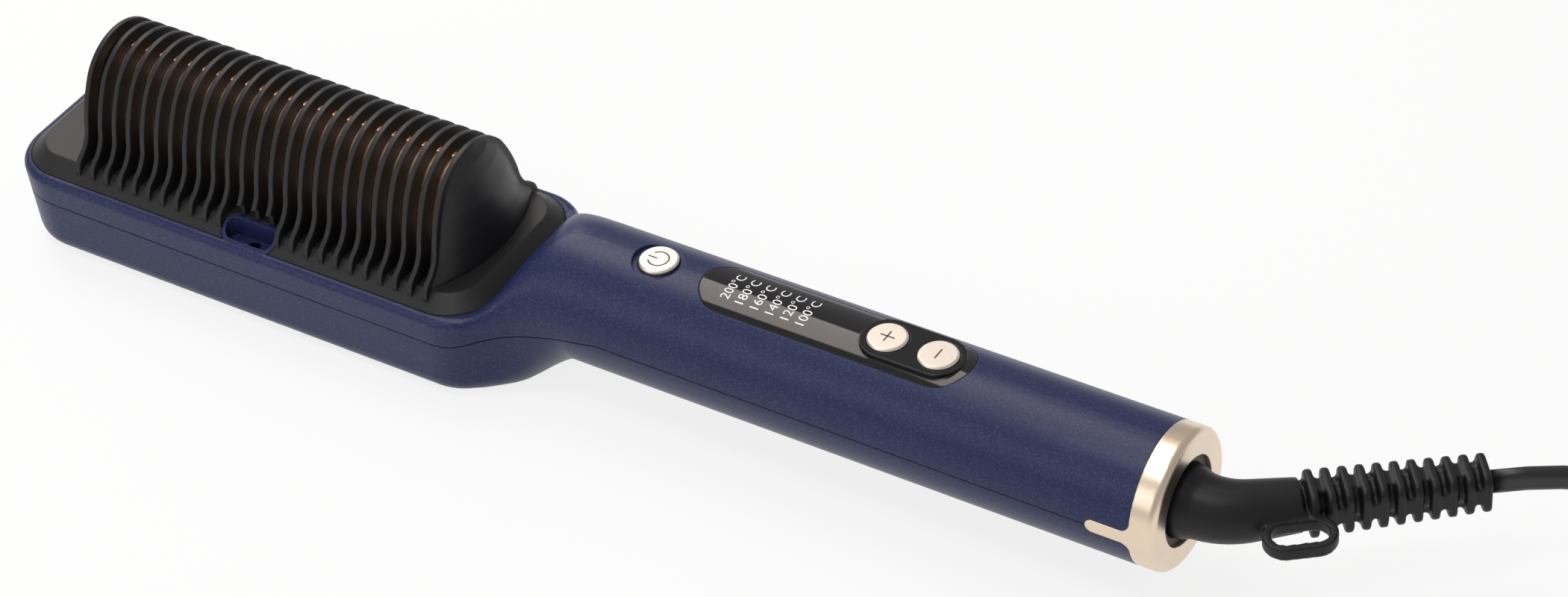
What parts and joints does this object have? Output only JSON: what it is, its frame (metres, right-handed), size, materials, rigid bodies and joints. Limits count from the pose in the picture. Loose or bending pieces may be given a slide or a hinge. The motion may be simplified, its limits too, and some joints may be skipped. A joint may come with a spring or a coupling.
{
  "type": "hair straightener",
  "caption": "Heated straightening comb: a copper ridge behind a black fin guard, a round navy handle with keys and window, and a swivelling ribbed cord.",
  "frame": {"origin": "middle of the comb on the flat underside of the head", "axes": "+X along the handle towards the cord, +Y to the side away from the catch, +Z the way the comb points"},
  "size_m": [0.487, 0.1121, 0.0518],
  "materials": {
    "navy_plastic": "satin, finely textured",
    "black_plastic": "fine matt moulding",
    "copper_coat": "satin copper-gold coating on aluminium",
    "ceramic": "fired alumina",
    "carrier_resin": "heat-resistant resin",
    "aluminium": "extruded",
    "glass_bead": "glazed bead",
    "steel": "zinc plated",
    "board_green": "solder mask",
    "switch_black": "moulded",
    "lamp_white": "clear resin over a chip",
    "guide_white": "moulded",
    "capacitor_sleeve": "shrink sleeve",
    "button_gold": "satin rose gold",
    "lens_black": "polished",
    "ring_gold": "satin rose gold",
    "brass": "plain",
    "black_rubber": "soft matt",
    "cord_rubber": "soft matt",
    "tie_plastic": "plain",
    "plug_plastic": "fine matt moulding",
    "pin_nickel": "nickel plated"
  },
  "bodies": {
    "casing": {"upper_shell": "navy_plastic", "lower_shell": "navy_plastic", "comb_guard": "black_plastic", "heating_ridge": "copper_coat", "heat_carrier": "carrier_resin", "ceramic_heater": "ceramic", "heater_clamp": "aluminium", "temperature_probe": "glass_bead", "thermal_fuse": "aluminium", "carrier_screws": "steel", "board_screws": "steel", "head_screws": "steel", "handle_screws": "steel", "control_board": "board_green", "switch_cases": "switch_black", "indicator_lamps": "lamp_white", "light_guide": "guide_white", "capacitor": "capacitor_sleeve", "power_module": "switch_black", "display_lens": "lens_black", "end_ring": "ring_gold", "swivel_bush": "black_plastic", "contact_block": "carrier_resin", "contact_leaves": "brass"},
    "power_key": {"power_button": "button_gold", "power_plunger": "switch_black"},
    "plus_key": {"plus_button": "button_gold", "plus_plunger": "switch_black"},
    "minus_key": {"minus_button": "button_gold", "minus_plunger": "switch_black"},
    "cord_swivel": {"cord_relief": "black_rubber", "slip_rings": "brass", "cord_lead": "cord_rubber", "cord_coil": "cord_rubber", "cord_tail": "cord_rubber", "coil_tie": "tie_plastic", "plug_body": "plug_plastic", "plug_pins": "pin_nickel"}
  },
  "joints": [
    {"name": "power_press", "type": "slide", "parent": "casing", "child": "power_key", "axis": [0, 0, -1], "range_m": [0, 0.0005], "stiffness_N_per_m": 1500},
    {"name": "plus_press", "type": "slide", "parent": "casing", "child": "plus_key", "axis": [0, 0, -1], "range_m": [0, 0.0005], "stiffness_N_per_m": 1500},
    {"name": "minus_press", "type": "slide", "parent": "casing", "child": "minus_key", "axis": [0, 0, -1], "range_m": [0, 0.0005], "stiffness_N_per_m": 1500},
    {"name": "cord_turn", "type": "hinge", "parent": "casing", "child": "cord_swivel", "pos_m": [0.2256, 0, 0.0225], "axis": [1, 0, 0], "continuous": true}
  ]
}
